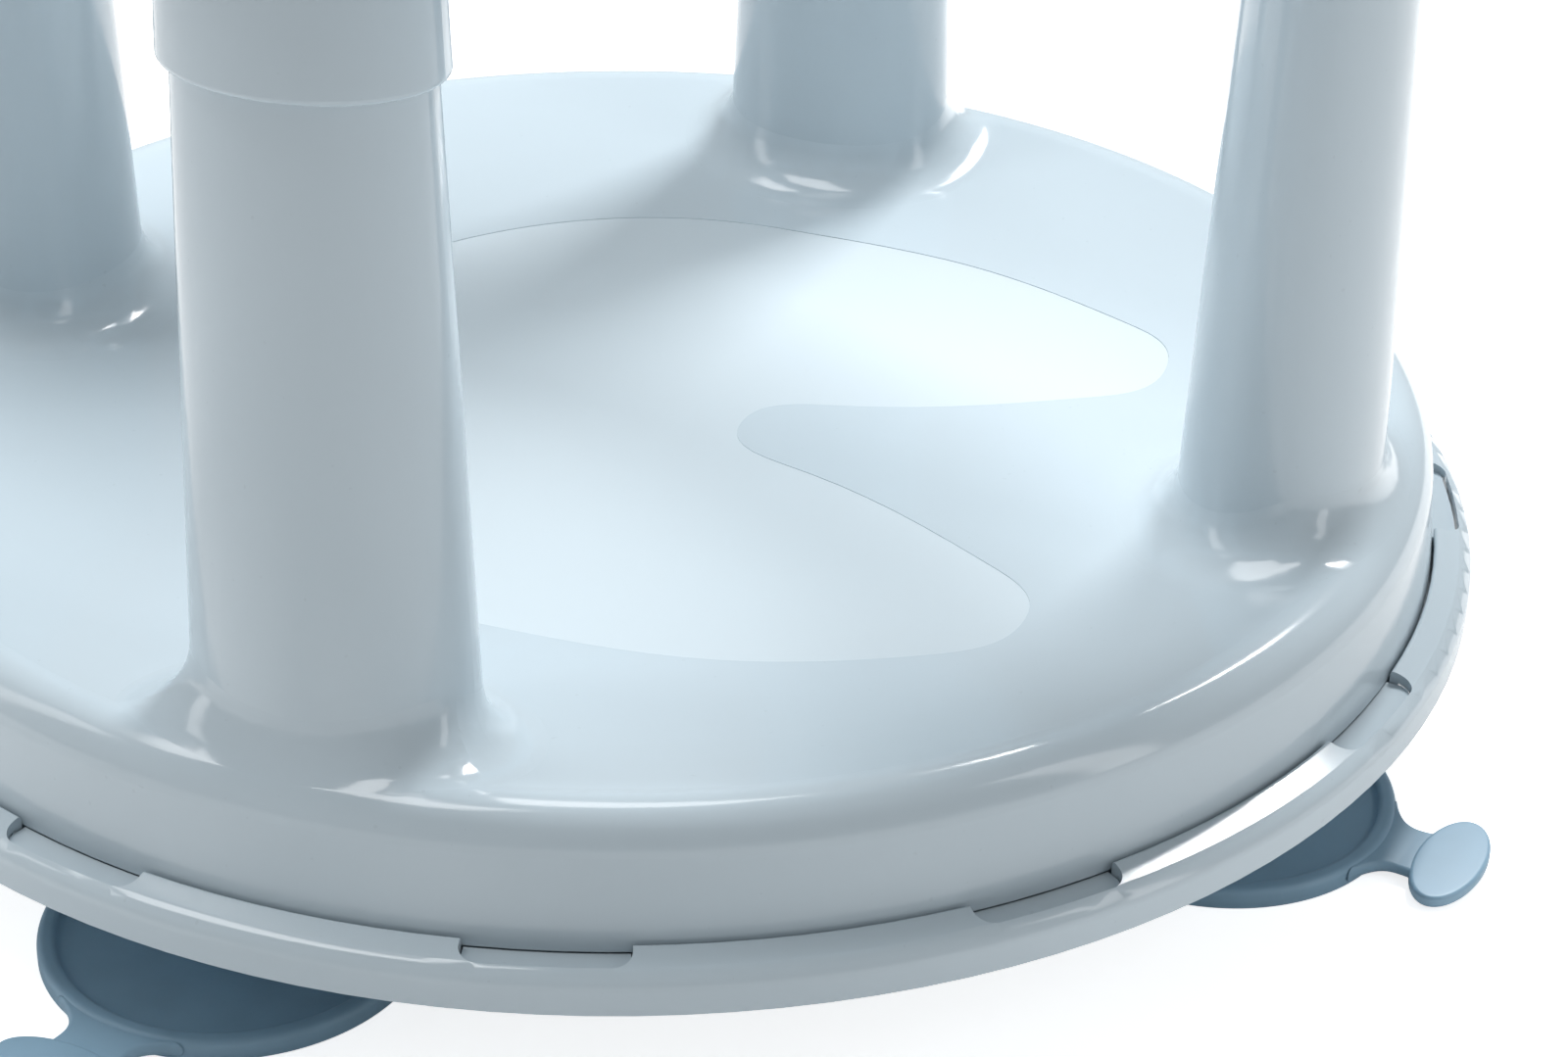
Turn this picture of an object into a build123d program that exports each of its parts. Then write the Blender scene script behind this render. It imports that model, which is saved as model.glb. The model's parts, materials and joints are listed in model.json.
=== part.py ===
from build123d import *
import math
import os

os.makedirs("parts", exist_ok=True)

# A baby bath seat: a round seat with four posts and a ring, turning on a flat tray that stands
# on four suction cups. Sizes are in millimetres. The origin lies on the floor under the middle,
# +Z is up and the sitter faces -Y, with a leg on each side of the front post.

# Tray
tray_radius = 175.0
tray_lift = 27.8
rim_height = 9.4
rim_width = 7.9
rim_fall = 1.9
rim_edge_round = 3.5
rim_lip_round = 0.8
rim_wall = 2.3
rim_top_wall = 2.0
rim_lip_wall = 1.8
plate_wall = 2.5
plate_step = 3.0
step_run = 2.0
step_inset = 8.1
rib_wall = 1.8
rib_depth = 2.6
ring_rib_radii = (70.0, 115.0)
drain_radius = 10.0
drain_inset = 83.0

# Snap hooks of the tray, each in its window in the rim
hook_count = 12
pattern_turn = -13.1
window_length = 29.0
window_border = 2.5
window_corner = 3.6
hook_play = 0.3
hook_wall = 3.0
hook_lip = 2.0
hook_gap = 0.5

# Seat shell
seat_floor_rise = 23.7
seat_crest_rise = 32.2
seat_wall = 2.5
shoulder_round = 8.0
cove_slope = 17.6
skirt_draft = 5.1
swivel_gap = 0.4
swivel_play = 0.3
bead_depth = 1.6
bead_height = 0.6
bead_chamfer = 0.8
groove_height = 2.9
grip_depth = 0.15
grip_half_width = 92.0
grip_rear = 84.0
grip_side = ((87.5, -54.0), (73.0, -88.0))
grip_toe = (54.0, -101.0)
grip_fork = ((37.0, -89.0), (14.5, -42.0))
grip_notch = -25.0

# Centre pivot
pivot_radius = 16.0
pivot_wall = 3.0
pivot_clearance = 0.06
hub_wall = 3.0
hub_height = 6.5

# Posts
post_inset = 38.3
post_along = 26.0
post_across = 19.3
post_draft = 2.0
foot_height = 19.8
foot_round = 11.5
socket_wall = 1.8
socket_clearance = 0.1
socket_depth = 27.5
socket_floor = 4.5
spigot_wall = 2.0
core_draft = 1.0
post_cap = 3.0
leg_height = 151.3

# Ring
ring_width = 44.0
ring_height = 30.0
ring_corner = 11.0
ring_wall = 2.4
ring_round = 4.5
tongue_wall = 1.5
tongue_gap = 0.1
tongue_height = 3.0
tongue_root = 4.0
collar_drop = 24.4
collar_wall = 2.0
collar_clearance = 0.12
collar_round = 1.2

# Screws, all alike in diameter
screw_radius = 1.5
screw_length = 12.0
screw_head_radius = 3.2
screw_head_height = 2.2
screw_drive = 0.9
pilot_clearance = 0.05
hole_clearance = 0.2
head_clearance = 0.4
boss_radius = 3.6
boss_height = 14.0
socket_screw_offset = 18.9
socket_drain_radius = 3.0

# Suction cups
cup_turn = -10.6
cup_inset = 38.8
cup_radius = 36.0
cup_lip_width = 3.2
cup_lip_height = 4.2
cup_lip_round = 1.6
cup_face_height = 2.6
cup_hollow = 1.5
cup_seal_inset = 0.6
cup_seal_width = 3.9
cup_neck_radius = 10.0
cup_neck_top_radius = 8.5
cup_groove_radius = 6.0
cup_groove_play = 0.2
cup_clearance = 0.06
cup_head_radius = 8.8
cup_head_height = 3.5
cup_head_round = 1.2
pad_radius = 14.0
pad_depth = 0.5

# Pull tabs of the cups
tab_gap = 0.3
tab_thickness = 2.2
tab_lift = 1.0
tab_root_width = 18.0
tab_waist_width = 14.4
tab_waist_reach = 4.7
tab_paddle_reach = 13.0
tab_paddle_across = 6.7
tab_paddle_along = 14.3
tab_paddle_thickness = 2.6
tab_paddle_round = 0.9
tab_root_round = 1.05
tab_turns = (1.9, 0.5)

# Heights and radii that follow
drain_circle = tray_radius - drain_inset
cup_circle = tray_radius - cup_inset
post_circle = tray_radius - post_inset

rim_bottom = tray_lift
rim_top = rim_bottom + rim_height
rim_inner = tray_radius - rim_width
edge_top = rim_bottom + plate_wall
plate_bottom = rim_bottom + plate_step
plate_top = plate_bottom + plate_wall
step_foot = rim_inner - step_inset
step_head = step_foot - step_run
hub_bore = pivot_radius + pivot_clearance
hub_radius = hub_bore + hub_wall
hub_top = plate_top + hub_height

seat_floor = rim_bottom + seat_floor_rise
seat_crest = rim_bottom + seat_crest_rise
skirt_radius = rim_inner - swivel_gap
groove_radius = skirt_radius - bead_depth
bead_bottom = edge_top + swivel_play
bead_top = bead_bottom + bead_chamfer + bead_height
skirt_bottom = bead_top + groove_height
skirt_inner = groove_radius - seat_wall
pivot_shoulder = hub_top + swivel_play

post_joint = seat_floor + foot_height
spigot_bottom = post_joint - socket_depth
socket_bottom = spigot_bottom - socket_floor
ring_bottom = seat_floor + leg_height
ring_middle = ring_bottom + ring_height / 2
post_top = ring_bottom + ring_wall
collar_bottom = ring_bottom - collar_drop
collar_top = post_top + ring_wall

pilot_radius = screw_radius + pilot_clearance
screw_hole = screw_radius + hole_clearance
head_hole = screw_head_radius + head_clearance
socket_head_depth = screw_head_height + head_clearance

cup_hole = cup_groove_radius + cup_clearance
cup_groove_bottom = plate_bottom - pad_depth - cup_groove_play
cup_groove_top = plate_top + cup_groove_play
cup_top = cup_groove_top + cup_head_height


def radial_plane(radius, angle, height=0.0):
    """A level plane at a radius and an angle about the middle, with its X pointing outwards."""
    outward = Vector(math.cos(math.radians(angle)), math.sin(math.radians(angle)), 0)
    return Plane(origin=outward * radius + Vector(0, 0, height), x_dir=outward, z_dir=(0, 0, 1))


def upright_plane(plane):
    """The vertical plane through a level plane's origin and X, with its own Y pointing up."""
    return Plane(origin=plane.origin, x_dir=plane.x_dir, z_dir=plane.x_dir.cross(plane.z_dir))


def post_size(height, growth=0.0, draft=post_draft):
    """The half sizes, outwards and sideways, of a post's oval at a height, grown by growth."""
    shrink = (height - post_joint) * math.tan(math.radians(draft)) - growth
    return post_across - shrink, post_along - shrink


def ovals(plane, low, high, growth=0.0, draft=post_draft):
    """The post's oval at a low and at a high level, grown by growth, as the ends of a loft."""
    ends = []
    for height in (low, high):
        with BuildSketch(plane.offset(height)) as end:
            Ellipse(*post_size(height, growth, draft))
        ends.append(end.sketch)
    return ends


def rim_surface(radius):
    """The height of the rim's sloping top at a radius."""
    return rim_top - rim_fall * (radius - rim_inner) / rim_width


def half_angle(length, radius):
    """Half the angle, in degrees, that an arc of a length takes up at a radius."""
    return math.degrees(length / 2 / radius)


def save_piece(piece, name):
    """Give a finished piece its name and write its file."""
    piece.part.label = name
    export_step(piece.part, f"parts/{name}.step")


def place_copy(shape, plane, name):
    """One piece of its own: a shape drawn about the origin, put on a plane."""
    with BuildPart() as piece:
        with Locations(plane.location):
            add(shape.part)
    save_piece(piece, name)


# Where the repeated pieces stand, in degrees from +X. The seam of each revolved
# surface lies between them.
seam_plane = upright_plane(radial_plane(0, 45))
post_angles = {"left": 0, "rear": 90, "right": 180, "front": 270}
cup_angles = {side: cup_turn + angle for side, angle in post_angles.items()}
tab_angles = {"left": tab_turns[1], "rear": tab_turns[0], "right": tab_turns[1], "front": tab_turns[0]}

# Window: the opening in the rim round one hook
window_outer = tray_radius - window_border
window_inner = rim_inner - swivel_gap


def window_outline(inner_radius, inset=0.0):
    """A window's outline, from an inner radius outwards, with its other sides moved in by inset."""
    half = half_angle(window_length - 2 * inset, rim_inner)
    outer_radius = window_outer - inset
    with BuildSketch() as outline:
        with BuildLine():
            outer_arc = CenterArc((0, 0), outer_radius, -half, 2 * half)
            inner_arc = CenterArc((0, 0), inner_radius, -half, 2 * half)
            Line(inner_arc @ 0, outer_arc @ 0)
            Line(inner_arc @ 1, outer_arc @ 1)
        make_face()
        outer_corners = outline.vertices().sort_by_distance((outer_radius, 0))[:2]
        fillet(outer_corners, window_corner - inset)
    return outline.sketch


# Hook: it stands on the edge of the plate and fills its window, and its lip reaches over the
# seat's bead.
hook_tip = groove_radius + hook_gap
hook_under = bead_top + hook_gap
hook_top = hook_under + hook_lip
hook_face = rim_inner + rim_lip_wall
hook_back = hook_face + hook_wall
hook_root = rim_inner + rim_lip_wall / 2
hook_half = half_angle(window_length, rim_inner)
with BuildPart() as hook:
    with BuildSketch(upright_plane(radial_plane(0, -hook_half))):
        with BuildLine():
            Polyline(
                (hook_root, rim_bottom),
                (hook_back, rim_bottom),
                (hook_back, hook_top),
                (hook_tip + hook_lip / 2, hook_top),
                (hook_tip, hook_under + hook_lip / 2),
                (hook_tip, hook_under),
                (hook_face, hook_under),
                (hook_face, edge_top),
                (hook_root, edge_top),
                close=True,
            )
        make_face()
    revolve(axis=Axis.Z, revolution_arc=2 * hook_half)
    with BuildSketch(Plane.XY.offset(rim_bottom)):
        add(window_outline(groove_radius, hook_play))
    extrude(amount=rim_height, mode=Mode.INTERSECT)

# Tray: its rim is an upside-down channel, and the plate inside carries the hub and the cups.
rim_edge = (tray_radius, rim_surface(tray_radius))
with BuildPart() as base_tray:
    with BuildSketch(seam_plane) as tray_section:
        with BuildLine():
            Polyline(
                (hub_bore, plate_bottom),
                (step_head - plate_wall, plate_bottom),
                (step_foot - plate_wall, rim_bottom),
                (hook_face, rim_bottom),
                (hook_face, rim_surface(hook_face) - rim_top_wall),
                (tray_radius - rim_wall, rim_surface(tray_radius - rim_wall) - rim_top_wall),
                (tray_radius - rim_wall, rim_bottom),
                (tray_radius, rim_bottom),
                rim_edge,
                (rim_inner, rim_top),
                (rim_inner, edge_top),
                (step_foot, edge_top),
                (step_head, plate_top),
                (hub_radius, plate_top),
                (hub_radius, hub_top),
                (hub_bore, hub_top),
                close=True,
            )
        make_face()
        fillet(tray_section.vertices().sort_by_distance(rim_edge)[0], rim_edge_round)
        fillet(tray_section.vertices().sort_by_distance((rim_inner, rim_top))[0], rim_lip_round)
    revolve(axis=Axis.Z)
    rib_start = hub_bore + hub_wall / 2
    rib_end = step_head - plate_wall
    with BuildSketch(Plane.XY.offset(plate_bottom - rib_depth)):
        with PolarLocations((rib_start + rib_end) / 2, hook_count, pattern_turn + 180 / hook_count):
            Rectangle(rib_end - rib_start, rib_wall)
    extrude(amount=rib_depth + plate_wall / 2)
    for ring_radius in ring_rib_radii:
        with BuildSketch(Plane.XY.offset(plate_bottom - rib_depth)):
            Circle(ring_radius + rib_wall / 2)
            Circle(ring_radius - rib_wall / 2, mode=Mode.SUBTRACT)
        extrude(amount=rib_depth + plate_wall / 2)
    with BuildSketch(Plane.XY.offset(plate_bottom - pad_depth)):
        with PolarLocations(cup_circle, len(cup_angles), cup_turn):
            Circle(pad_radius)
    extrude(amount=pad_depth + plate_wall / 2)
    with BuildSketch(Plane.XY.offset(edge_top)):
        with PolarLocations(0, hook_count, pattern_turn):
            add(window_outline(window_inner))
    extrude(amount=rim_height, mode=Mode.SUBTRACT)
    with PolarLocations(0, hook_count, pattern_turn):
        add(hook.part)
    with BuildSketch(Plane.XY.offset(rim_bottom)):
        with PolarLocations(cup_circle, len(cup_angles), cup_turn):
            Circle(cup_hole)
        with PolarLocations(drain_circle, hook_count, pattern_turn):
            Circle(drain_radius)
    extrude(amount=rim_height, mode=Mode.SUBTRACT)
save_piece(base_tray, "base_tray")

# Seat shell: a flat floor, a cove up to a rounded shoulder, and a skirt inside the tray's rim.
shoulder_z = seat_crest - shoulder_round
shoulder_angle = math.radians(skirt_draft)
skirt_top = shoulder_z + shoulder_round * math.sin(shoulder_angle)
shoulder_r = (
    skirt_radius
    - (skirt_top - skirt_bottom) * math.tan(shoulder_angle)
    - shoulder_round * math.cos(shoulder_angle)
)
cove_angle = math.radians(cove_slope)
cove_top = shoulder_z + shoulder_round * math.cos(cove_angle)
cove_radius = (cove_top - seat_floor) / (1 - math.cos(cove_angle))
floor_radius = shoulder_r - (shoulder_round + cove_radius) * math.sin(cove_angle)


def seat_curve(inset, wall_foot):
    """The shell's surface, moved inwards by inset, from the middle of the floor down the skirt."""
    floor_z = seat_floor - inset
    foot_r = skirt_radius - (wall_foot - skirt_bottom) * math.tan(shoulder_angle)
    foot_r -= inset / math.cos(shoulder_angle)
    Line((0, floor_z), (floor_radius, floor_z))
    CenterArc((floor_radius, seat_floor + cove_radius), cove_radius + inset, -90, cove_slope)
    shoulder = CenterArc(
        (shoulder_r, shoulder_z), shoulder_round - inset, 90 + cove_slope, skirt_draft - 90 - cove_slope
    )
    Line(shoulder @ 1, (foot_r, wall_foot))
    return foot_r


socket_size = [half - socket_wall for half in post_size(post_joint)]
skirt_step = skirt_bottom + seat_wall
with BuildPart() as grip_recess:
    with BuildSketch(seam_plane):
        with BuildLine():
            floor_line = Line((0, seat_floor - grip_depth), (floor_radius, seat_floor - grip_depth))
            cove = CenterArc(
                (floor_radius, seat_floor + cove_radius), cove_radius + grip_depth, -90, cove_slope
            )
            Polyline(cove @ 1, ((cove @ 1).X, seat_crest), (0, seat_crest), floor_line @ 0)
        make_face()
    revolve(axis=Axis.Z)
    with BuildSketch(Plane.XY.offset(seat_floor - seat_wall)):
        with BuildLine():
            rear = EllipticalCenterArc((0, 0), grip_half_width, grip_rear, arc_size=90)
            side = Spline(rear @ 0, *grip_side, grip_toe, tangents=((0, -1), (-1, 0)))
            Spline(side @ 1, *grip_fork, (0, grip_notch), tangents=((-1, 0), (-1, 0)))
            mirror(about=Plane.YZ)
        make_face()
    extrude(amount=seat_crest - seat_floor + seat_wall, mode=Mode.INTERSECT)

with BuildPart() as seat_shell:
    with BuildSketch(seam_plane):
        with BuildLine():
            seat_curve(0, skirt_bottom)
            Polyline(
                (skirt_radius, skirt_bottom),
                (groove_radius, skirt_bottom),
                (groove_radius, bead_top),
                (skirt_radius, bead_top),
                (skirt_radius, bead_bottom + bead_chamfer),
                (skirt_radius - bead_chamfer, bead_bottom),
                (0, bead_bottom),
                (0, seat_floor),
            )
        make_face()
    revolve(axis=Axis.Z)
    for angle in post_angles.values():
        loft(ovals(radial_plane(post_circle, angle), socket_bottom, post_joint))
    foot_edges = seat_shell.edges().filter_by(GeomType.BSPLINE)
    fillet(foot_edges.filter_by_position(Axis.Z, seat_floor, seat_crest, (False, True)), foot_round)
    with BuildSketch(seam_plane):
        with BuildLine():
            inner_foot = seat_curve(seat_wall, skirt_step)
            Polyline(
                (inner_foot, skirt_step),
                (skirt_inner, skirt_bottom),
                (skirt_inner, bead_bottom),
                (0, bead_bottom),
                (0, seat_floor - seat_wall),
            )
        make_face()
    revolve(axis=Axis.Z, mode=Mode.SUBTRACT)
    for angle in post_angles.values():
        socket_plane = radial_plane(post_circle, angle)
        loft(ovals(socket_plane, socket_bottom, seat_floor))
        with BuildSketch(socket_plane.offset(spigot_bottom)):
            Ellipse(*socket_size)
        extrude(amount=post_joint - spigot_bottom, mode=Mode.SUBTRACT)
        with BuildSketch(socket_plane.offset(socket_bottom)):
            Circle(socket_drain_radius)
            with Locations((0, socket_screw_offset), (0, -socket_screw_offset)):
                Circle(screw_hole)
        extrude(amount=socket_floor, mode=Mode.SUBTRACT)
        with BuildSketch(socket_plane.offset(socket_bottom)):
            with Locations((0, socket_screw_offset), (0, -socket_screw_offset)):
                Circle(head_hole)
        extrude(amount=socket_head_depth, mode=Mode.SUBTRACT)
    with BuildSketch(seam_plane):
        with BuildLine():
            Polyline(
                (pivot_radius - pivot_wall, plate_bottom),
                (pivot_radius, plate_bottom),
                (pivot_radius, pivot_shoulder),
                (hub_radius, pivot_shoulder),
                (hub_radius, seat_floor - seat_wall / 2),
                (pivot_radius - pivot_wall, seat_floor - seat_wall / 2),
                close=True,
            )
        make_face()
    revolve(axis=Axis.Z)
    add(grip_recess.part, mode=Mode.SUBTRACT)
save_piece(seat_shell, "seat_shell")

# Posts: each is one hollow piece, plugged into its socket and screwed from below.
spigot_size = [half - socket_clearance for half in socket_size]
core_growth = -(socket_wall + socket_clearance + spigot_wall)
pilot_spare = 1.0
foot_pilot = screw_length - (socket_floor - socket_head_depth) + pilot_spare
top_pilot = screw_length - ring_wall + pilot_spare
with BuildPart() as post:
    with BuildSketch(Plane.XY.offset(spigot_bottom)):
        Ellipse(*spigot_size)
    extrude(amount=socket_depth)
    loft(ovals(Plane.XY, post_joint, post_top))
    core = ovals(Plane.XY, spigot_bottom, post_top - post_cap, core_growth, core_draft)
    loft(core, mode=Mode.SUBTRACT)
    with BuildSketch(Plane.XY.offset(spigot_bottom)):
        with Locations((0, socket_screw_offset), (0, -socket_screw_offset)):
            Circle(boss_radius)
    extrude(amount=boss_height)
    with BuildSketch(Plane.XY.offset(post_top - post_cap)):
        Circle(boss_radius)
    extrude(amount=-boss_height)
    with BuildSketch(Plane.XY.offset(spigot_bottom)):
        with Locations((0, socket_screw_offset), (0, -socket_screw_offset)):
            Circle(pilot_radius)
    extrude(amount=foot_pilot, mode=Mode.SUBTRACT)
    with BuildSketch(Plane.XY.offset(post_top)):
        Circle(pilot_radius)
    extrude(amount=-top_pilot, mode=Mode.SUBTRACT)
for side, angle in post_angles.items():
    place_copy(post, radial_plane(post_circle, angle), f"post_{side}")

# Screws: a round head with a six-sided drive, drawn with its tip up and its seat at the origin
with BuildPart() as screw:
    with BuildSketch():
        Circle(screw_head_radius)
    extrude(amount=-screw_head_height)
    fillet(screw.edges().sort_by(Axis.Z)[0], screw_head_height / 3)
    with BuildSketch():
        Circle(screw_radius)
    extrude(amount=screw_length)
    chamfer(screw.edges().sort_by(Axis.Z)[-1], screw_radius / 2)
    with BuildSketch(Plane.XY.offset(-screw_head_height)):
        RegularPolygon(screw_drive, 6)
    extrude(amount=screw_head_height / 2, mode=Mode.SUBTRACT)

with BuildPart() as post_screws:
    for angle in post_angles.values():
        with Locations(radial_plane(post_circle, angle, socket_bottom + socket_head_depth)):
            with Locations((0, socket_screw_offset), (0, -socket_screw_offset)):
                add(screw.part)
save_piece(post_screws, "post_screws")

with BuildPart() as ring_screws:
    with PolarLocations(post_circle, len(post_angles)):
        with Locations(Location((0, 0, collar_top), (180, 0, 0))):
            add(screw.part)
save_piece(ring_screws, "ring_screws")

# Ring: a hollow tube in two halves, whose lower half carries four collars for the posts
inner_width = ring_width - 2 * ring_wall
inner_height = ring_height - 2 * ring_wall
inner_corner = ring_corner - ring_wall
tongue_face = inner_width / 2 - tongue_gap
collar_growth = collar_clearance + collar_wall


def half_section(width, height, corner, end):
    """Half of the ring's rounded section, below or above the parting line as end says."""
    with Locations((post_circle, ring_middle)):
        RectangleRounded(width, height, corner)
        Rectangle(width, height, align=(Align.CENTER, end), mode=Mode.INTERSECT)


with BuildPart() as ring_lower:
    with BuildSketch(seam_plane):
        half_section(ring_width, ring_height, ring_corner, Align.MAX)
    revolve(axis=Axis.Z)
    for angle in post_angles.values():
        loft(ovals(radial_plane(post_circle, angle), collar_bottom, ring_middle, collar_growth))
    neck_edges = ring_lower.edges().filter_by(GeomType.BSPLINE)
    fillet(neck_edges.filter_by_position(Axis.Z, ring_bottom, ring_middle, (True, False)), ring_round)
    fillet(ring_lower.edges().group_by(Axis.Z)[0], collar_round)
    with BuildSketch(seam_plane):
        half_section(inner_width, inner_height, inner_corner, Align.MAX)
    revolve(axis=Axis.Z, mode=Mode.SUBTRACT)
    for angle in post_angles.values():
        collar_plane = radial_plane(post_circle, angle)
        loft(ovals(collar_plane, ring_bottom, collar_top, collar_growth))
        loft(ovals(collar_plane, collar_bottom, post_top, collar_clearance), mode=Mode.SUBTRACT)
        with BuildSketch(collar_plane.offset(post_top)):
            Circle(screw_hole)
        extrude(amount=ring_wall, mode=Mode.SUBTRACT)
    with BuildSketch(seam_plane):
        for side in (-1, 1):
            tongue_middle = post_circle + side * (tongue_face - tongue_wall / 2)
            root_middle = tongue_middle + side * ring_wall / 2
            with Locations((tongue_middle, ring_middle + tongue_height)):
                Rectangle(tongue_wall, tongue_height + tongue_root, align=(Align.CENTER, Align.MAX))
            with Locations((root_middle, ring_middle)):
                Rectangle(tongue_wall, tongue_root, align=(Align.CENTER, Align.MAX))
    revolve(axis=Axis.Z)
save_piece(ring_lower, "ring_lower")

with BuildPart() as ring_upper:
    with BuildSketch(seam_plane):
        half_section(ring_width, ring_height, ring_corner, Align.MIN)
        with Locations((post_circle, ring_middle)):
            RectangleRounded(inner_width, inner_height, inner_corner, mode=Mode.SUBTRACT)
    revolve(axis=Axis.Z)
save_piece(ring_upper, "ring_upper")

# Suction cup: one turned rubber piece, buttoned through the tray by the groove in its neck
lip_inner = cup_radius - cup_lip_width
seal_outer = cup_radius - cup_seal_inset
seal_inner = seal_outer - cup_seal_width
with BuildPart() as suction_cup:
    with BuildSketch(Plane.XZ) as cup_section:
        with BuildLine():
            TangentArc((0, cup_hollow), (seal_inner, 0), tangent=(1, 0))
            Polyline(
                (seal_inner, 0),
                (seal_outer, 0),
                (cup_radius, cup_seal_inset),
                (cup_radius, cup_lip_height),
                (lip_inner, cup_lip_height),
                (lip_inner - (cup_lip_height - cup_face_height) / 2, cup_face_height),
                (cup_neck_radius, cup_face_height),
                (cup_neck_top_radius, cup_groove_bottom),
                (cup_groove_radius, cup_groove_bottom),
                (cup_groove_radius, cup_groove_top),
                (cup_head_radius, cup_groove_top),
                (cup_head_radius, cup_top),
                (0, cup_top),
                (0, cup_hollow),
            )
        make_face()
        for corner, size in (
            ((cup_radius, cup_lip_height), cup_lip_round),
            ((lip_inner, cup_lip_height), cup_lip_round / 2),
            ((cup_neck_radius, cup_face_height), cup_lip_round),
            ((cup_head_radius, cup_top), cup_head_round),
        ):
            fillet(cup_section.vertices().sort_by_distance(corner)[0], size)
    revolve(axis=Axis.Z)

# Pull tab: a neck whose rounded root bends beside the cup, and a bean-shaped paddle
root_reach = cup_radius + tab_gap
paddle_reach = cup_radius + tab_paddle_reach
with BuildPart() as pull_tab:
    with BuildSketch(Plane.XY.offset(tab_lift)):
        with Locations((paddle_reach, 0)):
            Ellipse(tab_paddle_across, tab_paddle_along)
    extrude(amount=tab_paddle_thickness)
    fillet(pull_tab.faces().filter_by(Axis.Z).edges(), tab_paddle_round)
    with BuildSketch(Plane.XY.offset(tab_lift)):
        with BuildLine():
            neck_side = ThreePointArc(
                (root_reach, tab_root_width / 2),
                (cup_radius + tab_waist_reach, tab_waist_width / 2),
                (paddle_reach, tab_root_width / 2),
            )
            mirror(about=Plane.XZ)
            Line(neck_side @ 0, (root_reach, -tab_root_width / 2))
            Line(neck_side @ 1, (paddle_reach, -tab_root_width / 2))
        make_face()
    extrude(amount=tab_thickness)
    fillet(pull_tab.edges().group_by(Axis.X)[0].filter_by(Axis.Y), tab_root_round)
for side, angle in cup_angles.items():
    cup_plane = radial_plane(cup_circle, angle)
    place_copy(suction_cup, cup_plane, f"suction_cup_{side}")
    place_copy(pull_tab, cup_plane.rotated((0, 0, tab_angles[side])), f"pull_tab_{side}")
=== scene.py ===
import json
import math

import bpy
import numpy as np
from bpy.props import FloatProperty, FloatVectorProperty, PointerProperty
from mathutils import Matrix, Vector


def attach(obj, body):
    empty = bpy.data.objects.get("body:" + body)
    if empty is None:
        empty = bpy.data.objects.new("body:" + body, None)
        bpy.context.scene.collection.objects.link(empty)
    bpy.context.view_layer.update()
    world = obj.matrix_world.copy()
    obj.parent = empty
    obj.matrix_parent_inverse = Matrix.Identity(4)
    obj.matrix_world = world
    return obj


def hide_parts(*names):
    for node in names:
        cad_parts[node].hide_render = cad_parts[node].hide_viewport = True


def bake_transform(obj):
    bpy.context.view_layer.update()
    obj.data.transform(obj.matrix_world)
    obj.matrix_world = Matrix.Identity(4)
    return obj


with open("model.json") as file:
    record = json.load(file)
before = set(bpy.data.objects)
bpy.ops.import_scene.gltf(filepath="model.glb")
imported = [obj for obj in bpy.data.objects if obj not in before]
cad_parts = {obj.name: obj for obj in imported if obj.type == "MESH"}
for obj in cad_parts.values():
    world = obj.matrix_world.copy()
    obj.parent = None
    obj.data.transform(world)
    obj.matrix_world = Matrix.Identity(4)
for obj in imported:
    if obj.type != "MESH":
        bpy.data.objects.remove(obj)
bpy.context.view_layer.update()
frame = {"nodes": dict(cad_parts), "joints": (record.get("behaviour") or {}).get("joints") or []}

bl_info = {
    "name": "Baby Bath Seat",
    "version": (1, 0, 0),
    "blender": (4, 5, 0),
    "location": "View3D > Sidebar > Bath Seat",
    "description": "Finishes the plastic shells of a baby bath seat and adds its soft suction cups",
    "category": "Add Mesh",
}

JOINTS = {joint["name"]: joint for joint in frame["joints"]}
SIDES = ("front", "left", "right", "rear")
PLASTIC_NODES = ("base_tray", "seat_shell", "post_front", "post_left", "post_right", "post_rear",
                 "ring_lower", "ring_upper")
SCREW_NODES = ("post_screws", "ring_screws")
MM = 0.001
TAB_LIFT = 1.0 * MM    # height of a pull tab's underside above the ground

GRIP_DEPTHS = (0.075 * MM, 0.4 * MM)    # depths under the nominal dish that count as the grip recess
GRIP_REACH = 25 * MM    # how far out from the flat floor the grip recess can lie
GRIP_ROUGHNESS = 0.30
GRIP_GRAIN = 0.35
SHELL_RELIEF = (0.10, 0.12 * MM)    # strength and height of the relief on the shells
SHELL_ROUGHNESS = (0.10, 0.05)    # the least roughness, and what the haze adds at most
SPECK_LIMIT = 0.86    # the noise above which a speck shows
SPECK_STRENGTH = 0.12
RUBBER_RELIEF = (0.12, 0.05 * MM)
RUBBER_ROUGHNESS = (0.38, 0.08)
STEEL_ROUGHNESS = (0.22, 0.16)

FLOOR_HALF = 6.0
FLOOR_GLOW = 0.75
LIGHT_TARGET = (0, 0, 0.08)
LAMPS = {    # place, width and height in metres, and the stage's property with the power
    "key_softbox": ((0.75, -0.20, 0.95), (0.28, 0.28), "key_power"),
    "top_softbox": ((0.10, 0.45, 1.50), (1.2, 0.8), "top_power"),
    "left_lamp": ((-0.45, 1.05, 0.50), (0.22, 1.1), "side_power"),
    "right_lamp": ((-0.15, -1.15, 0.55), (0.22, 1.1), "side_power"),
}


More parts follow.
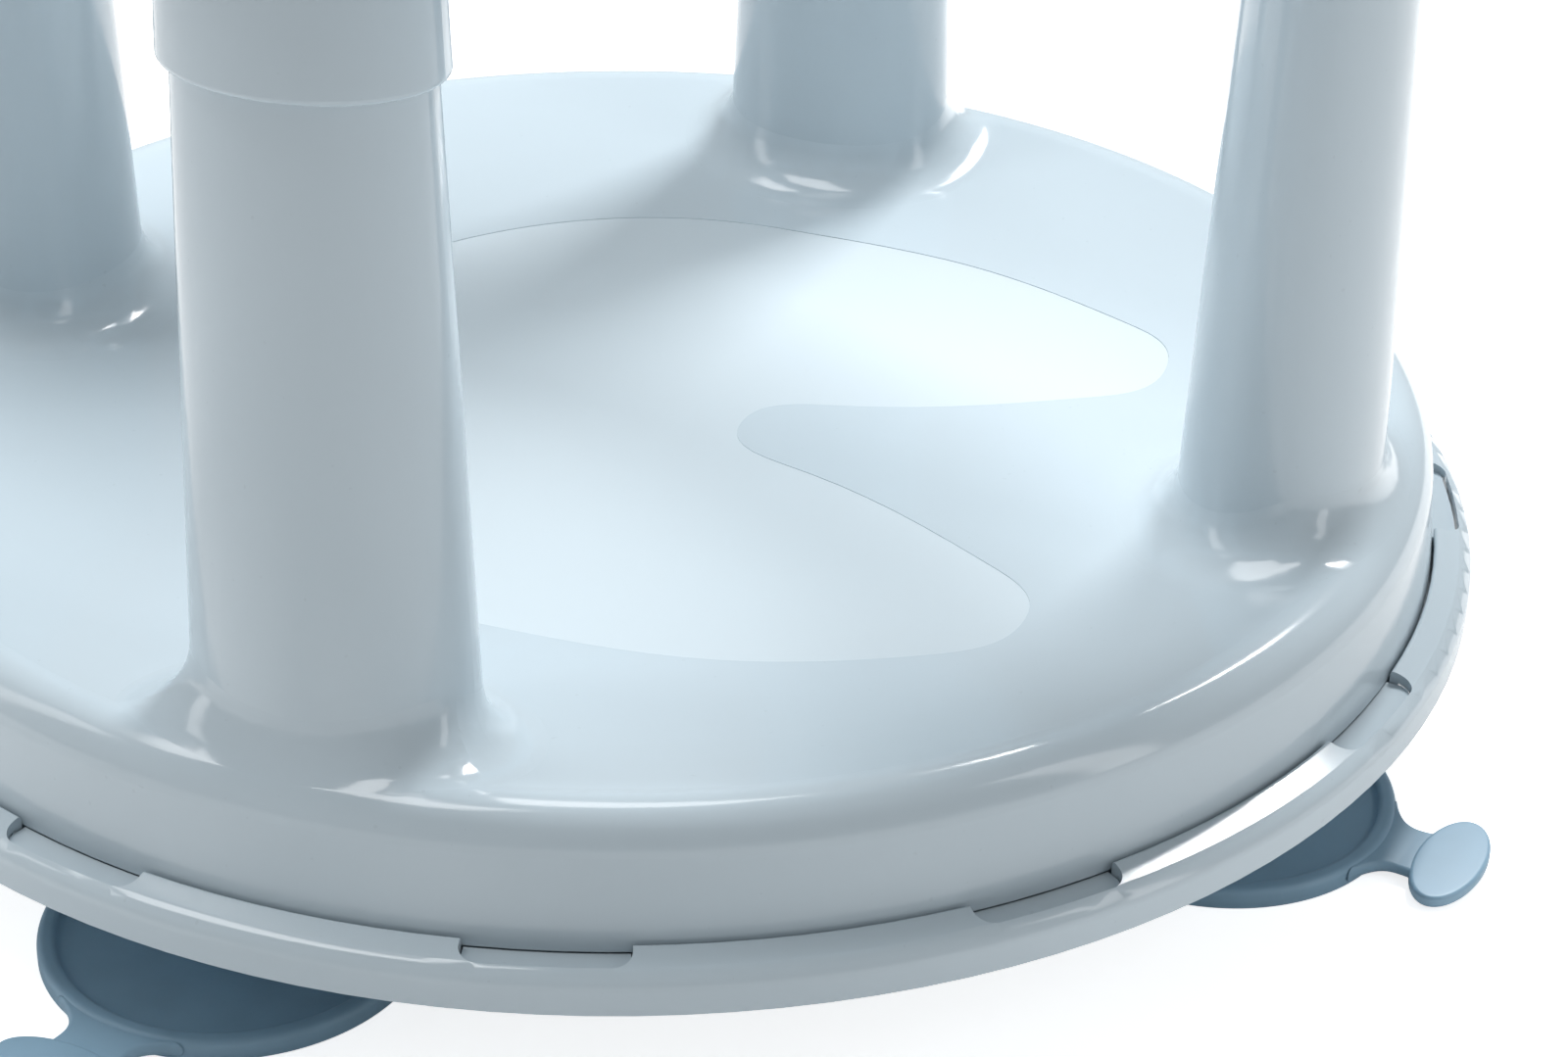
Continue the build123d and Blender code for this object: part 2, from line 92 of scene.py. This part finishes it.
class BathSeatColours(bpy.types.PropertyGroup):
    """Colours of the object's finishes and of the floor, as linear light."""

    plastic: FloatVectorProperty(
        name="Shell plastic", description="Colour of the glossy moulded shells",
        subtype="COLOR", size=3, min=0, max=1, default=(0.500, 0.582, 0.634))
    grip: FloatVectorProperty(
        name="Grip area", description="Colour of the matte area that the sitter rests on",
        subtype="COLOR", size=3, min=0, max=1, default=(0.535, 0.612, 0.658))
    rubber: FloatVectorProperty(
        name="Cup rubber", description="Colour of the soft suction cups and their pull tabs",
        subtype="COLOR", size=3, min=0, max=1, default=(0.260, 0.415, 0.540))
    steel: FloatVectorProperty(
        name="Screw steel", description="Colour of the stainless screws",
        subtype="COLOR", size=3, min=0, max=1, default=(0.62, 0.63, 0.65))
    floor: FloatVectorProperty(
        name="Floor", description="Colour of the floor and the backdrop",
        subtype="COLOR", size=3, min=0, max=1, default=(0.94, 0.94, 0.94))


class BathSeatSizes(bpy.types.PropertyGroup):
    """Sizes of the soft pieces and of the grip area."""

    seat_floor: FloatProperty(
        name="Seat floor", description="Height of the seat's flat floor above the ground",
        unit="LENGTH", default=51.5 * MM)
    floor_radius: FloatProperty(
        name="Floor radius", description="Radius at which the seat's floor turns up into its cove",
        unit="LENGTH", default=102.2 * MM)
    cove_radius: FloatProperty(
        name="Cove radius", description="Radius of the cove's curve seen from the side",
        unit="LENGTH", default=173.6 * MM)
    cup_radius: FloatProperty(
        name="Cup radius", description="Radius of a suction cup at its lip",
        unit="LENGTH", default=36.0 * MM)
    lip_height: FloatProperty(
        name="Lip height", description="Height of a suction cup's thick edge",
        unit="LENGTH", default=4.2 * MM)
    neck_radius: FloatProperty(
        name="Neck radius", description="Radius of a suction cup's neck at its foot",
        unit="LENGTH", default=10.0 * MM)
    tab_waist: FloatProperty(
        name="Tab waist", description="Width of a pull tab's neck at its narrowest place",
        unit="LENGTH", default=14.4 * MM)
    tab_thickness: FloatProperty(
        name="Tab thickness", description="Thickness of a pull tab's neck",
        unit="LENGTH", default=2.2 * MM)
    paddle_reach: FloatProperty(
        name="Paddle reach", description="Distance from the cup's middle to the paddle's middle",
        unit="LENGTH", default=49.0 * MM)
    paddle_length: FloatProperty(
        name="Paddle length", description="Length of a pull tab's paddle, across the tab",
        unit="LENGTH", default=28.6 * MM)
    paddle_width: FloatProperty(
        name="Paddle width", description="Width of a pull tab's paddle, along the tab",
        unit="LENGTH", default=13.3 * MM)
    paddle_thickness: FloatProperty(
        name="Paddle thickness", description="Thickness of a pull tab's paddle",
        unit="LENGTH", default=2.6 * MM)


class BathSeatStage(bpy.types.PropertyGroup):
    """Where the camera stands and how strong the light is."""

    camera_place: FloatVectorProperty(
        name="Camera", description="Place of the camera", subtype="XYZ", unit="LENGTH", size=3,
        default=(-584.8 * MM, -232.7 * MM, 383.3 * MM))
    camera_heading: FloatProperty(
        name="Heading", description="Level direction in which the camera looks, from +X",
        subtype="ANGLE", default=math.radians(18.7))
    camera_tilt: FloatProperty(
        name="Tilt", description="How far the camera looks down", subtype="ANGLE",
        default=math.radians(29.901))
    camera_roll: FloatProperty(
        name="Roll", description="How far the camera's right side is raised", subtype="ANGLE",
        default=math.radians(1.316))
    lens: FloatProperty(
        name="Lens", description="Focal length in millimetres on a 36 mm wide sensor",
        default=78.56)
    key_power: FloatProperty(
        name="Key light", description="Power of the softbox behind", default=12.0)
    top_power: FloatProperty(
        name="Top light", description="Power of the wide softbox above", default=19.0)
    side_power: FloatProperty(
        name="Side lights", description="Power of each tall side lamp", default=2.2)
    world_light: FloatProperty(
        name="Room light", description="Strength of the room's light", default=0.30)


class Value:
    """One shader socket that takes part in sums as a number does."""

    def __init__(self, graph, socket):
        self.graph = graph
        self.socket = socket

    def _maths(self, operation, *terms):
        return self.graph.node("ShaderNodeMath", {"operation": operation}, terms)

    def __add__(self, other):
        return self._maths("ADD", self, other)

    def __radd__(self, other):
        return self._maths("ADD", other, self)

    def __sub__(self, other):
        return self._maths("SUBTRACT", self, other)

    def __rsub__(self, other):
        return self._maths("SUBTRACT", other, self)

    def __mul__(self, other):
        return self._maths("MULTIPLY", self, other)

    def __rmul__(self, other):
        return self._maths("MULTIPLY", other, self)

    def __pow__(self, other):
        return self._maths("POWER", self, other)

    def __gt__(self, other):
        return self._maths("GREATER_THAN", self, other)

    def __lt__(self, other):
        return self._maths("LESS_THAN", self, other)


class Graph:
    """The node tree of one new material."""

    def __init__(self, name):
        self.material = bpy.data.materials.new(name)
        self.material.use_nodes = True
        self.tree = self.material.node_tree
        self.tree.nodes.clear()

    def node(self, kind, settings=None, inputs=None, output=0):
        """A node of a type: its settings are set first, then its sockets' values or links."""
        made = self.tree.nodes.new(kind)
        for name, value in (settings or {}).items():
            setattr(made, name, value)
        pairs = inputs.items() if isinstance(inputs, dict) else enumerate(inputs or ())
        for key, value in pairs:
            if isinstance(value, Value):
                self.tree.links.new(value.socket, made.inputs[key])
            else:
                made.inputs[key].default_value = value
        return Value(self, made.outputs[output]) if made.outputs else None

    def place(self):
        """The point's place on the object, in metres."""
        return self.node("ShaderNodeTexCoord", output=3)

    def noise(self, size, detail=2.0, roughness=0.5, stretch=(1.0, 1.0, 1.0)):
        """Smooth noise between 0 and 1 whose blobs are about size metres across."""
        spread = self.node("ShaderNodeVectorMath", {"operation": "MULTIPLY"}, (self.place(), stretch))
        return self.node("ShaderNodeTexNoise", None, {
            "Vector": spread, "Scale": 1.0 / size, "Detail": detail, "Roughness": roughness})

    def mixed(self, factor, low, high):
        """The colour between low and high that a factor picks."""
        low = low if isinstance(low, Value) else (*low, 1.0)
        high = high if isinstance(high, Value) else (*high, 1.0)
        return self.node("ShaderNodeMix", {"data_type": "RGBA"}, {
            "Factor": factor, 6: low, 7: high}, output=2)

    def bump(self, height, strength, distance):
        """A normal that follows a height."""
        return self.node("ShaderNodeBump", None, {
            "Strength": strength, "Distance": distance, "Height": height})

    def finish(self, **inputs):
        """The Principled shader with these sockets, and the output."""
        words = {name.replace("_", " "): value for name, value in inputs.items()}
        shader = self.node("ShaderNodeBsdfPrincipled", None, words)
        self.node("ShaderNodeOutputMaterial", None, (shader,))
        return self.material


def shade(colour, factor):
    """A colour made lighter or darker."""
    return tuple(min(1.0, channel * factor) for channel in colour)


def grip_mask(graph, sizes):
    """1 in the seat's shallow grip recess, 0 elsewhere: the recess lies under the nominal dish,
    which is flat out to the floor's radius and then a circle's arc."""
    place = graph.place()
    across = [graph.node("ShaderNodeSeparateXYZ", None, (place,), output=axis) for axis in range(3)]
    radius = (across[0] * across[0] + across[1] * across[1]) ** 0.5
    beyond = radius - sizes.floor_radius
    beyond = beyond * (beyond > 0.0)
    rise = sizes.cove_radius - (sizes.cove_radius ** 2 - beyond * beyond) ** 0.5
    depth = sizes.seat_floor + rise - across[2]
    least, most = GRIP_DEPTHS
    return (depth > least) * (depth < most) * (radius < sizes.floor_radius + GRIP_REACH)


def shell_plastic(name, colours, sizes=None):
    """Glossy moulded plastic with a faint ripple, faint uneven gloss and a few tiny specks. With
    sizes given, the grip area is matte and has a fine grain in place of the ripple."""
    graph = Graph(name)
    ripple = graph.noise(14 * MM, detail=1.0)
    haze = graph.noise(45 * MM, detail=3.0)
    specks = graph.noise(1.3 * MM, detail=0.0) > SPECK_LIMIT
    tint = graph.mixed(haze, shade(colours.plastic, 0.985), shade(colours.plastic, 1.012))
    tint = graph.mixed(specks * SPECK_STRENGTH, tint, shade(colours.plastic, 0.55))
    roughness = SHELL_ROUGHNESS[0] + SHELL_ROUGHNESS[1] * haze
    relief = graph.bump(ripple, *SHELL_RELIEF)
    if sizes:
        mask = grip_mask(graph, sizes)
        grain = graph.noise(0.45 * MM, detail=1.0)
        tint = graph.mixed(mask, tint, colours.grip)
        roughness = roughness + mask * GRIP_ROUGHNESS
        relief = graph.bump(ripple * (1 - mask) + grain * mask * GRIP_GRAIN, *SHELL_RELIEF)
    return graph.finish(
        Base_Color=tint, Roughness=roughness, Normal=relief, IOR=1.49, Specular_IOR_Level=0.5)


def cup_rubber(name, colours):
    """Soft satin rubber, slightly mottled, with a fine grain."""
    graph = Graph(name)
    cloud = graph.noise(9 * MM, detail=3.0)
    grain = graph.noise(0.6 * MM, detail=1.0)
    tint = graph.mixed(cloud, shade(colours.rubber, 0.92), shade(colours.rubber, 1.08))
    roughness = RUBBER_ROUGHNESS[0] + RUBBER_ROUGHNESS[1] * cloud
    return graph.finish(
        Base_Color=tint, Roughness=roughness, Normal=graph.bump(grain, *RUBBER_RELIEF), IOR=1.5)


def screw_steel(name, colours):
    """Turned stainless steel with fine uneven brushing."""
    graph = Graph(name)
    brushing = graph.noise(0.35 * MM, detail=2.0, stretch=(1.0, 1.0, 6.0))
    tint = graph.mixed(brushing, shade(colours.steel, 0.85), colours.steel)
    roughness = STEEL_ROUGHNESS[0] + STEEL_ROUGHNESS[1] * brushing
    return graph.finish(Base_Color=tint, Roughness=roughness, Metallic=1.0)


def dress(node, material):
    """Give a CAD node one material."""
    slots = frame["nodes"][node].data.materials
    slots.clear()
    slots.append(material)


def surface_mesh(name, grids, material):
    """A smooth mesh object from grids of points: each grid's rows run round it and close on
    themselves, and a fan of triangles round the row's mean point closes its first and last row."""
    points, faces, start = [], [], 0
    for grid in grids:
        steps, turns = grid.shape[:2]
        flat = grid.reshape(-1, 3)
        ends = np.stack([grid[0].mean(0), grid[-1].mean(0)])
        index = start + np.arange(steps * turns).reshape(steps, turns)
        turned = np.roll(index, -1, axis=1)
        quads = np.stack([index[:-1], turned[:-1], turned[1:], index[1:]], axis=-1).reshape(-1, 4)
        first, last = start + len(flat), start + len(flat) + 1
        low = np.stack([np.full(turns, first), turned[0], index[0]], axis=-1)
        high = np.stack([np.full(turns, last), index[-1], turned[-1]], axis=-1)
        points.append(np.concatenate([flat, ends]))
        faces += quads.tolist() + low.tolist() + high.tolist()
        start += len(flat) + 2
    mesh = bpy.data.meshes.new(name)
    mesh.from_pydata(np.concatenate(points).tolist(), [], faces)
    mesh.shade_smooth()
    mesh.materials.append(material)
    mesh.update()
    piece = bpy.data.objects.new(name, mesh)
    bpy.context.scene.collection.objects.link(piece)
    return piece


def rounded_line(corners, steps=10):
    """Points of a profile: straight runs between corners (distance, height, round), each corner
    replaced by a quadratic curve that starts and ends its round away from it."""
    points = []
    for index, (x, z, size) in enumerate(corners):
        corner = np.array((x, z))
        if size == 0:
            points.append(corner[None])
            continue
        before = np.array(corners[index - 1][:2]) - corner
        after = np.array(corners[(index + 1) % len(corners)][:2]) - corner
        start = corner + before / np.linalg.norm(before) * size
        end = corner + after / np.linalg.norm(after) * size
        t = np.linspace(0, 1, steps)[:, None]
        points.append((1 - t) ** 2 * start + 2 * t * (1 - t) * corner + t ** 2 * end)
    return np.concatenate(points)


def turned_surface(profile, turns, centre):
    """A profile of (radius, height) carried round the vertical axis through a centre."""
    angle = np.linspace(0, 2 * math.pi, turns, endpoint=False)
    radius, height = profile[:, :1], profile[:, 1:]
    return np.stack([
        centre[0] + radius * np.cos(angle), centre[1] + radius * np.sin(angle),
        height + 0 * angle], axis=-1)


def cup_profile(sizes, plate):
    """A suction cup's section from the middle of its hollow underside, z = h (1 - t^2), out to the
    seal, over the thick lip, in along the thin face, up the neck and its groove to the head. The
    groove holds the tray's plate, whose height is given."""
    radius, lip, neck = sizes.cup_radius, sizes.lip_height, sizes.neck_radius
    seal, lip_inside, lip_foot = radius - 4.5 * MM, radius - 3.2 * MM, radius - 4.0 * MM
    hollow_height, face = 1.5 * MM, 2.6 * MM
    neck_top, groove, head = neck - 1.5 * MM, neck - 4.0 * MM, neck - 1.2 * MM
    groove_low, groove_high, head_top = plate - 0.7 * MM, plate + 2.7 * MM, plate + 6.2 * MM
    share = np.linspace(0.02, 1, 30)[:, None]
    hollow = np.concatenate([share * seal, hollow_height * (1 - share ** 2)], axis=1)
    upper = rounded_line([
        (seal, 0, 0), (radius, 0, 0.6 * MM), (radius, lip, 1.6 * MM), (lip_inside, lip, 0.9 * MM),
        (lip_foot, face, 0.8 * MM), (neck, face, 1.6 * MM), (neck_top, groove_low, 0.3 * MM),
        (groove, groove_low, 0), (groove, groove_high, 0), (head, groove_high, 0.3 * MM),
        (head, head_top, 1.2 * MM), (0.2 * MM, head_top, 0)])
    return np.concatenate([hollow[:-1], upper])


def tab_neck(sizes):
    """A pull tab's neck as (along, across, up): pill-shaped sections from inside the cup's lip to the
    paddle's middle. It is narrowest at its waist. From there its half width grows as s^2.4 towards
    the cup and as s^2 towards the paddle, and towards the cup it gets thicker and rises."""
    inside, waist = sizes.cup_radius - 2.6 * MM, sizes.cup_radius + 4.7 * MM
    cup_flare, paddle_flare, thicker, higher = 7.0 * MM, 2.0 * MM, 0.35 * MM, 0.15 * MM
    along = np.linspace(inside, sizes.paddle_reach, 60)[:, None]
    short = np.clip((waist - along) / (waist - inside), 0, 1)
    beyond = np.clip((along - waist) / (sizes.paddle_reach - waist), 0, 1)
    half = sizes.tab_waist / 2 + cup_flare * short ** 2.4 + paddle_flare * beyond ** 2
    thick = sizes.tab_thickness / 2 + thicker * short
    angle = np.linspace(0, 2 * math.pi, 48, endpoint=False)
    across = np.sign(np.cos(angle)) * (half - thick) + thick * np.cos(angle)
    up = TAB_LIFT + sizes.tab_thickness / 2 + higher * short + thick * np.sin(angle)
    return np.stack([along + 0 * across, across, up], axis=-1)


def tab_paddle(sizes):
    """A pull tab's paddle as (along, across, up): an oval whose rows shrink towards both faces by an
    edge radius, with x = (a - d) cos t and y = (b - d) sin t, and whose top is slightly crowned."""
    low, high, edge, crown = TAB_LIFT, TAB_LIFT + sizes.paddle_thickness, 0.8 * MM, 0.1 * MM
    quarter = np.linspace(0, math.pi / 2, 8)
    shrinking, growing = edge * (1 - np.sin(quarter)), edge * (1 - np.cos(quarter))
    inner = np.linspace(0.05, 0.95, 12)
    share = np.concatenate([inner, np.ones(2 * len(quarter)), inner[::-1]])[:, None]
    full = np.full_like(inner, edge)
    inset = np.concatenate([full, shrinking, growing, full])[:, None]
    up = np.concatenate([
        np.full_like(inner, low), low + growing, high - crown - shrinking,
        high - crown * inner[::-1] ** 2])[:, None]
    angle = np.linspace(0, 2 * math.pi, 96, endpoint=False)
    return np.stack([
        sizes.paddle_reach + share * (sizes.paddle_width / 2 - inset) * np.cos(angle),
        share * (sizes.paddle_length / 2 - inset) * np.sin(angle), up + 0 * angle], axis=-1)


class BATHSEAT_OT_cups(bpy.types.Operator):
    """Make the four soft suction cups"""

    bl_idname = "bath_seat.cups"
    bl_label = "Make Suction Cups"

    def execute(self, context):
        sizes = context.scene.bath_seat_sizes
        rubber = cup_rubber("cup_rubber", context.scene.bath_seat_colours)
        for side in SIDES:
            centre = JOINTS[f"cup_{side}_turn"]["pos_m"]
            cup = surface_mesh(f"soft_cup_{side}", [
                turned_surface(cup_profile(sizes, centre[2]), 192, centre)], rubber)
            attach(cup, f"cup_{side}")
            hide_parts(f"suction_cup_{side}")
        return {"FINISHED"}


class BATHSEAT_OT_tabs(bpy.types.Operator):
    """Make the four soft pull tabs, each running into its cup's lip"""

    bl_idname = "bath_seat.tabs"
    bl_label = "Make Pull Tabs"

    def execute(self, context):
        sizes = context.scene.bath_seat_sizes
        rubber = cup_rubber("tab_rubber", context.scene.bath_seat_colours)
        for side in SIDES:
            axis = np.array(JOINTS[f"tab_{side}_lift"]["axis"])
            centre = np.array(JOINTS[f"cup_{side}_turn"]["pos_m"]) * (1, 1, 0)
            outward = np.array((-axis[1], axis[0], 0))
            turn = np.stack([outward, -axis, (0, 0, 1)])
            grids = [centre + grid @ turn for grid in (tab_neck(sizes), tab_paddle(sizes))]
            tab = surface_mesh(f"soft_tab_{side}", grids, rubber)
            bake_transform(tab)
            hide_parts(f"pull_tab_{side}")
        return {"FINISHED"}


class BATHSEAT_OT_shells(bpy.types.Operator):
    """Give the tray, seat, posts and ring their glossy plastic"""

    bl_idname = "bath_seat.shells"
    bl_label = "Finish Plastic Shells"

    def execute(self, context):
        colours, sizes = context.scene.bath_seat_colours, context.scene.bath_seat_sizes
        plastic = shell_plastic("shell_plastic", colours)
        for node in PLASTIC_NODES:
            dress(node, plastic)
        dress("seat_shell", shell_plastic("seat_plastic", colours, sizes))
        return {"FINISHED"}


class BATHSEAT_OT_screws(bpy.types.Operator):
    """Give the screws their stainless steel"""

    bl_idname = "bath_seat.screws"
    bl_label = "Finish Screws"

    def execute(self, context):
        steel = screw_steel("screw_steel", context.scene.bath_seat_colours)
        for node in SCREW_NODES:
            dress(node, steel)
        return {"FINISHED"}


class BATHSEAT_OT_stage(bpy.types.Operator):
    """Add the floor, the light and the camera"""

    bl_idname = "bath_seat.stage"
    bl_label = "Add Stage"

    def execute(self, context):
        stage = context.scene.bath_seat_stage
        add_camera(stage)
        add_floor(context.scene.bath_seat_colours)
        add_light(stage)
        context.scene.view_settings.view_transform = "Standard"
        return {"FINISHED"}


def add_camera(stage):
    """The camera looks along its heading, tilted down and rolled."""
    level = Vector((math.cos(stage.camera_heading), math.sin(stage.camera_heading), 0))
    forward = math.cos(stage.camera_tilt) * level - math.sin(stage.camera_tilt) * Vector((0, 0, 1))
    side = forward.cross(Vector((0, 0, 1))).normalized()
    top = side.cross(forward)
    right = math.cos(stage.camera_roll) * side + math.sin(stage.camera_roll) * top
    up = math.cos(stage.camera_roll) * top - math.sin(stage.camera_roll) * side
    lens = bpy.data.cameras.new("camera")
    lens.lens = stage.lens
    lens.sensor_width = 36.0
    camera = bpy.data.objects.new("camera", lens)
    turn = Matrix((right, up, -forward)).transposed().to_4x4()
    camera.matrix_world = Matrix.Translation(stage.camera_place) @ turn
    bpy.context.scene.collection.objects.link(camera)
    bpy.context.scene.camera = camera


def add_floor(colours):
    """A large flat floor that looks white to the camera and keeps the object's shadow."""
    mesh = bpy.data.meshes.new("floor")
    corners = [(FLOOR_HALF * x, FLOOR_HALF * y, 0) for x, y in ((-1, -1), (1, -1), (1, 1), (-1, 1))]
    mesh.from_pydata(corners, [], [(0, 1, 2, 3)])
    floor = bpy.data.objects.new("floor", mesh)
    bpy.context.scene.collection.objects.link(floor)
    graph = Graph("floor_white")
    seen = graph.node("ShaderNodeLightPath", output=0)
    diffuse = graph.node("ShaderNodeBsdfDiffuse", None, {"Color": (*colours.floor, 1.0)})
    glow = graph.node("ShaderNodeEmission", None, {
        "Color": (1, 1, 1, 1), "Strength": seen * FLOOR_GLOW})
    both = graph.node("ShaderNodeAddShader", None, (diffuse, glow))
    graph.node("ShaderNodeOutputMaterial", None, (both,))
    mesh.materials.append(graph.material)


def add_softbox(name, place, size, power):
    """A rectangular lamp at a place, facing the object."""
    lamp = bpy.data.lights.new(name, "AREA")
    lamp.shape = "RECTANGLE"
    lamp.size, lamp.size_y = size
    lamp.energy = power
    box = bpy.data.objects.new(name, lamp)
    facing = (Vector(LIGHT_TARGET) - Vector(place)).to_track_quat("-Z", "Y")
    box.matrix_world = Matrix.Translation(place) @ facing.to_matrix().to_4x4()
    bpy.context.scene.collection.objects.link(box)


def add_light(stage):
    """A white room, the key softbox behind and to the right in the picture, a wide one above, and a
    tall lamp on each side that draws upright reflections on the posts."""
    world = bpy.data.worlds.new("room")
    world.use_nodes = True
    tree = world.node_tree
    tree.nodes.clear()
    path = tree.nodes.new("ShaderNodeLightPath")
    seen = tree.nodes.new("ShaderNodeBackground")
    seen.inputs["Strength"].default_value = 1.0
    seen.inputs["Color"].default_value = (1, 1, 1, 1)
    light = tree.nodes.new("ShaderNodeBackground")
    light.inputs["Strength"].default_value = stage.world_light
    light.inputs["Color"].default_value = (0.95, 0.98, 1.0, 1)
    mix = tree.nodes.new("ShaderNodeMixShader")
    out = tree.nodes.new("ShaderNodeOutputWorld")
    tree.links.new(path.outputs["Is Camera Ray"], mix.inputs[0])
    tree.links.new(light.outputs[0], mix.inputs[1])
    tree.links.new(seen.outputs[0], mix.inputs[2])
    tree.links.new(mix.outputs[0], out.inputs["Surface"])
    bpy.context.scene.world = world
    for name, (place, size, power) in LAMPS.items():
        add_softbox(name, place, size, getattr(stage, power))


class BATHSEAT_PT_panel(bpy.types.Panel):
    """Lists the steps that make the bath seat"""

    bl_idname = "BATHSEAT_PT_panel"
    bl_label = "Bath Seat"
    bl_space_type = "VIEW_3D"
    bl_region_type = "UI"
    bl_category = "Bath Seat"

    def draw(self, context):
        for step in STEPS:
            self.layout.operator(f"bath_seat.{step}")


STEPS = ("shells", "screws", "cups", "tabs", "stage")
GROUPS = {
    "bath_seat_colours": BathSeatColours,
    "bath_seat_sizes": BathSeatSizes,
    "bath_seat_stage": BathSeatStage,
}
CLASSES = (
    *GROUPS.values(), BATHSEAT_OT_shells, BATHSEAT_OT_screws, BATHSEAT_OT_cups, BATHSEAT_OT_tabs,
    BATHSEAT_OT_stage, BATHSEAT_PT_panel)


def register():
    for cls in CLASSES:
        bpy.utils.register_class(cls)
    for name, group in GROUPS.items():
        setattr(bpy.types.Scene, name, PointerProperty(type=group))


def unregister():
    for name in GROUPS:
        delattr(bpy.types.Scene, name)
    for cls in reversed(CLASSES):
        bpy.utils.unregister_class(cls)


def main():
    register()
    for step in STEPS:
        getattr(bpy.ops.bath_seat, step)()


if __name__ == "__main__":
    main()
